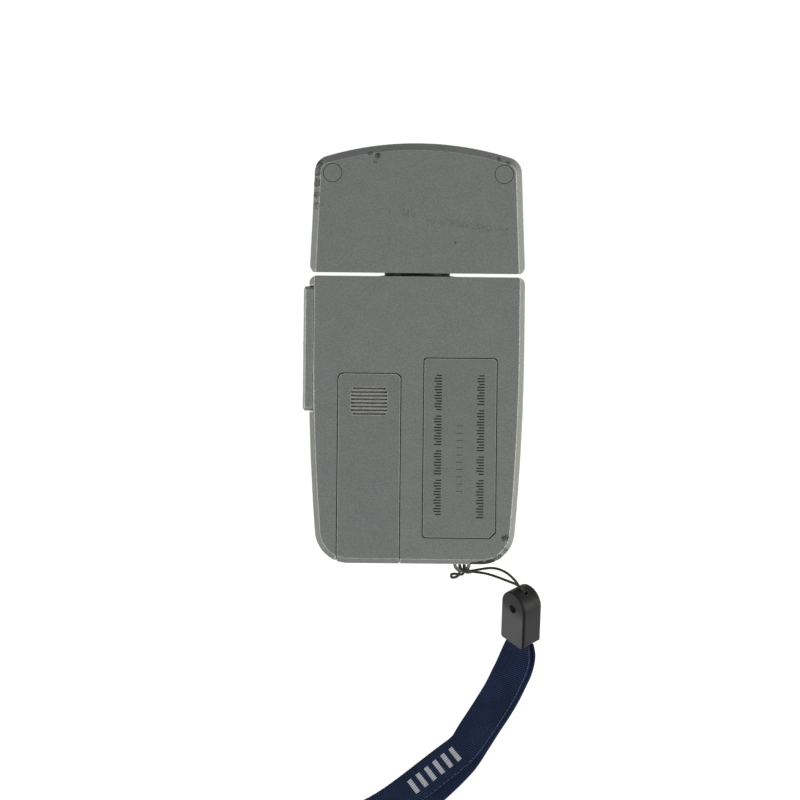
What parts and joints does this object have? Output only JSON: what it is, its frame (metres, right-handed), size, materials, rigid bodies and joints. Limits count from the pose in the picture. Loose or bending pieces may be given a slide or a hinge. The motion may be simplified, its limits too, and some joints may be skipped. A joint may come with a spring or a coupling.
{
  "type": "handheld light meter",
  "caption": "Slim handheld photographic light meter with a swivelling head, side measuring bar, sliding battery door and a webbing wrist strap.",
  "frame": {"origin": "middle of the box round the meter without its wrist strap, on the plane of the front face that it rests on", "axes": "+Y along the body towards the swivel head, +Z out of the back of the case, +X to the right as seen from the back"},
  "size_m": [0.1183, 0.2238, 0.024],
  "materials": {
    "case_plastic": "fine matte moulding grain",
    "black_plastic": "satin",
    "key_plastic": "satin",
    "clip_plastic": "satin moulding",
    "nylon": "plain moulded",
    "opal_plastic": "translucent white",
    "clear_plastic": "clear gloss",
    "display_glass": "gloss",
    "optical_glass": "gloss",
    "silicone": "matt",
    "board": "solder mask",
    "chip": "moulded",
    "steel": "zinc plated",
    "contact_metal": "nickel plated",
    "cell_wrap": "printed sleeve",
    "cable_sheath": "matt",
    "cord_textile": "braided",
    "webbing": "woven"
  },
  "bodies": {
    "case": {"rear_shell": "case_plastic", "front_shell": "case_plastic", "rating_plate": "case_plastic", "lcd_window": "clear_plastic", "lcd_glass": "display_glass", "lcd_frame": "black_plastic", "lcd_connectors": "silicone", "main_board": "board", "board_parts": "chip", "key_mat": "silicone", "measure_switch": "black_plastic", "aa_cell": "cell_wrap", "plus_contact": "contact_metal", "minus_contact": "contact_metal", "battery_spring": "contact_metal", "case_screws": "steel", "sync_socket": "contact_metal", "sync_contact": "black_plastic", "strap_lug": "case_plastic", "neck_bush": "black_plastic", "neck_shim": "nylon", "neck_washer": "steel", "sensor_cable": "cable_sheath", "lanyard_cord": "cord_textile", "lanyard_knot": "cord_textile", "strap_clip": "clip_plastic", "strap_band": "webbing"},
    "head": {"head_rear_shell": "case_plastic", "head_front_shell": "case_plastic", "head_screws": "steel", "head_screw_plugs": "case_plastic", "neck_spigot": "black_plastic", "neck_clip": "steel", "sensor_housing": "black_plastic", "filter_glass": "optical_glass", "photodiode": "contact_metal", "sensor_board": "board"},
    "dome_mount": {"dome": "opal_plastic", "dome_ring": "black_plastic"},
    "side_bar": {"measure_bar": "case_plastic", "switch_plunger": "black_plastic"},
    "door": {"battery_door": "case_plastic"},
    "mode_key_cap": {"mode_key": "key_plastic"},
    "iso_key_cap": {"iso_key": "key_plastic"},
    "down_key_cap": {"down_key": "key_plastic"},
    "up_key_cap": {"up_key": "key_plastic"},
    "power_key_cap": {"power_key": "key_plastic"}
  },
  "joints": [
    {"name": "head_swivel", "type": "hinge", "parent": "case", "child": "head", "pos_m": [0.00085, 0.02548, 0.012], "axis": [0, 1, 0], "range_deg": [-90, 180]},
    {"name": "dome_twist", "type": "hinge", "parent": "head", "child": "dome_mount", "pos_m": [0.00085, 0.04698, 0.008], "axis": [0, 0, 1], "range_deg": [0, 45]},
    {"name": "measure_press", "type": "slide", "parent": "case", "child": "side_bar", "axis": [1, 0, 0], "range_m": [0, 0.0008], "stiffness_N_per_m": 2000},
    {"name": "door_slide", "type": "slide", "parent": "case", "child": "door", "axis": [0, -1, 0], "range_m": [0, 0.058]},
    {"name": "mode_key_press", "type": "slide", "parent": "case", "child": "mode_key_cap", "axis": [0, 0, 1], "range_m": [0, 0.0006], "stiffness_N_per_m": 1500},
    {"name": "iso_key_press", "type": "slide", "parent": "case", "child": "iso_key_cap", "axis": [0, 0, 1], "range_m": [0, 0.0006], "stiffness_N_per_m": 1500},
    {"name": "down_key_press", "type": "slide", "parent": "case", "child": "down_key_cap", "axis": [0, 0, 1], "range_m": [0, 0.0006], "stiffness_N_per_m": 1500},
    {"name": "up_key_press", "type": "slide", "parent": "case", "child": "up_key_cap", "axis": [0, 0, 1], "range_m": [0, 0.0006], "stiffness_N_per_m": 1500},
    {"name": "power_key_press", "type": "slide", "parent": "case", "child": "power_key_cap", "axis": [0, 0, 1], "range_m": [0, 0.0006], "stiffness_N_per_m": 1500}
  ]
}
